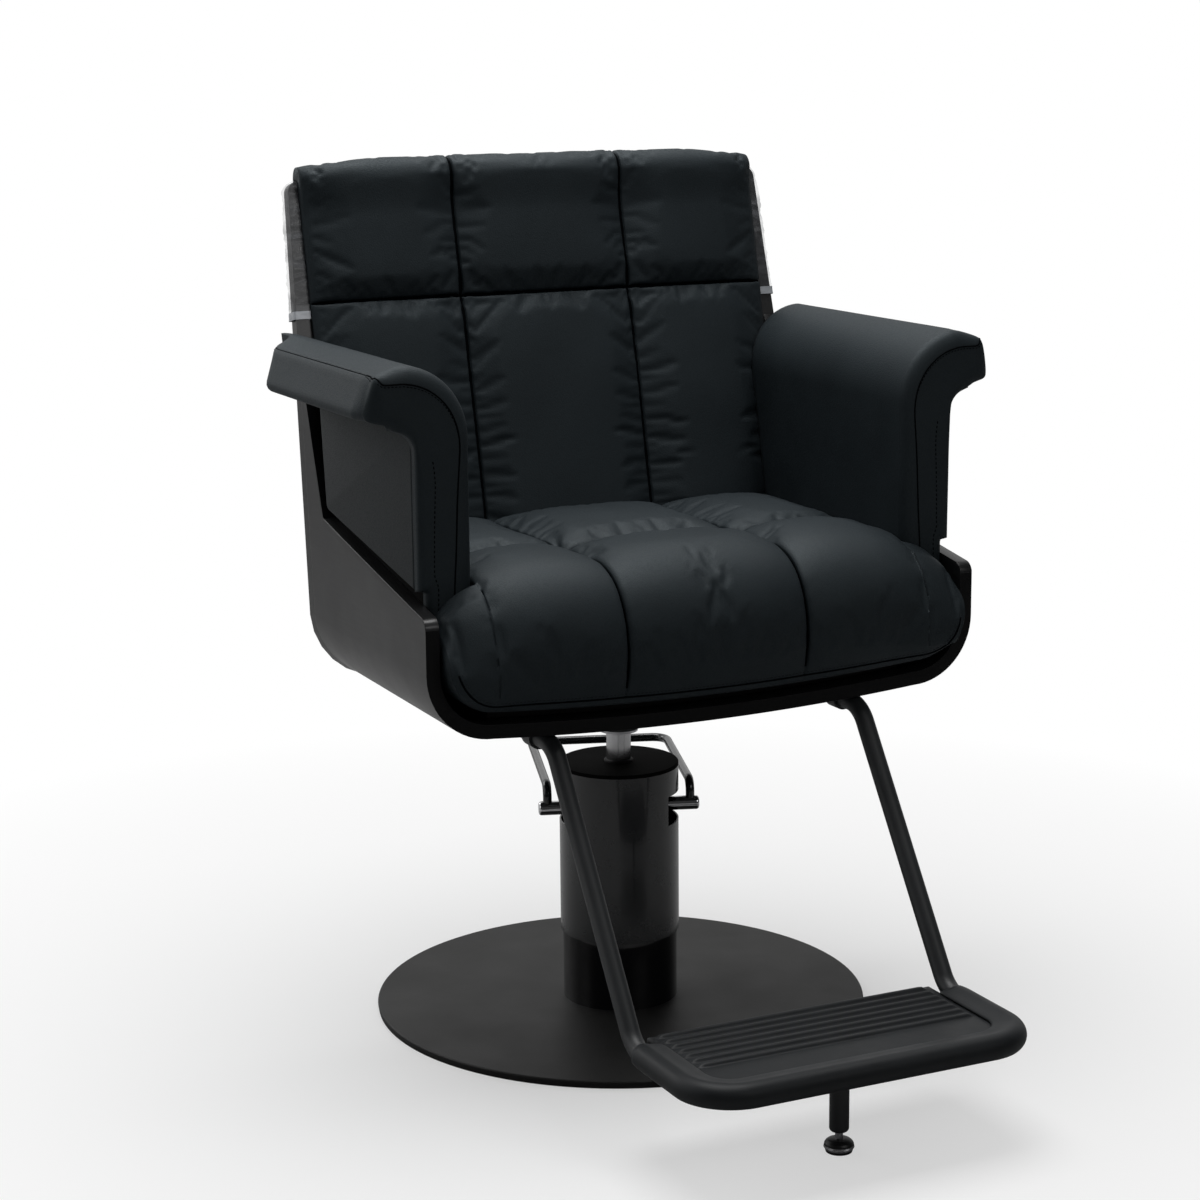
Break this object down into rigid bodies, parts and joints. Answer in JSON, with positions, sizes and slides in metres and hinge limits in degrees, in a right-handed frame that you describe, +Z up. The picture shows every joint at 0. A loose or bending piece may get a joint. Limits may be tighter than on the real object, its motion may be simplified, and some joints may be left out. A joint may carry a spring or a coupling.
{
  "type": "hairdressing chair",
  "caption": "Padded hairdressing chair with rolled arms, a bent-tube footrest, a swivelling seat and a foot-pumped lifting column on a round floor plate.",
  "frame": {"origin": "middle of the floor plate's underside, on the lifting column's axis", "axes": "+Z up along the lifting column; the chair faces -Y; +X is to the right of someone who stands before it and looks at its front"},
  "size_m": [0.7438, 0.852, 0.9587],
  "materials": {
    "plate_black": "fine textured matt powder coat",
    "gloss_black": "mirror gloss enamel",
    "satin_black": "satin enamel",
    "tube_black": "fine satin powder coat",
    "pump_grey": "painted casting",
    "rod_steel": "ground and polished along the circumference",
    "zinc_steel": "bright zinc plate",
    "bright_chrome": "polished",
    "bearing_bronze": "machined",
    "black_leather": "fine grained, semi-matt",
    "black_shell": "black satin lacquer on bent plywood",
    "raw_ply": "plain plywood",
    "clear_film": "clear, creased",
    "black_rubber": "matt, ribbed"
  },
  "bodies": {
    "base": {"base_plate": "plate_black", "flange_screws": "zinc_steel", "pump_flange": "pump_grey", "pump_cylinder": "pump_grey", "cylinder_gland": "bearing_bronze", "pump_body": "pump_grey", "pedal_bushes": "bearing_bronze", "lower_sleeve": "gloss_black", "upper_sleeve": "satin_black", "column_cap": "gloss_black", "rod_seal": "black_rubber"},
    "pedal": {"pedal_shafts": "bright_chrome", "pedal_crank": "zinc_steel", "pedal_loop": "tube_black"},
    "plunger": {"pump_plunger": "zinc_steel"},
    "piston": {"piston_rod": "rod_steel", "piston_head": "zinc_steel", "thrust_washer": "bearing_bronze"},
    "seat": {"swivel_hub": "tube_black", "seat_plate": "tube_black", "seat_plate_bolts": "zinc_steel", "seat_shell": "black_shell", "back_panel": "black_shell", "seat_board": "raw_ply", "seat_cushion": "black_leather", "back_cushion": "black_leather", "arm_pad_left": "black_leather", "arm_pad_right": "black_leather", "arm_board_left": "black_shell", "arm_board_right": "black_shell", "arm_side_panel_left": "black_leather", "arm_side_panel_right": "black_leather", "clear_back_cover": "clear_film", "footrest_tube": "tube_black", "tube_clamps": "tube_black", "clamp_screws": "zinc_steel", "foot_tray": "tube_black", "foot_pad": "black_rubber", "footrest_leg": "tube_black", "leg_insert": "zinc_steel"},
    "glide": {"glide_stud": "zinc_steel", "glide_pad": "bright_chrome", "glide_sole": "black_rubber"}
  },
  "joints": [
    {"name": "lift", "type": "slide", "parent": "base", "child": "piston", "axis": [0, 0, 1], "range_m": [0, 0.15]},
    {"name": "swivel", "type": "hinge", "parent": "piston", "child": "seat", "pos_m": [0, 0, 0.35], "axis": [0, 0, 1], "continuous": true},
    {"name": "pedal_press", "type": "hinge", "parent": "base", "child": "pedal", "pos_m": [0, 0, 0.231], "axis": [-0.9455, 0.3256, 0], "range_deg": [0, 25], "stiffness_Nm_per_rad": 12, "springref_deg": -11.46},
    {"name": "plunger_stroke", "type": "slide", "parent": "base", "child": "plunger", "axis": [0, 0, -1], "range_m": [0, 0.01]},
    {"name": "glide_height", "type": "slide", "parent": "seat", "child": "glide", "axis": [0, 0, 1], "range_m": [0, 0.006]}
  ],
  "couplings": [
    {"joint": "plunger_stroke", "follows": "pedal_press", "m_per_rad": 0.022}
  ]
}
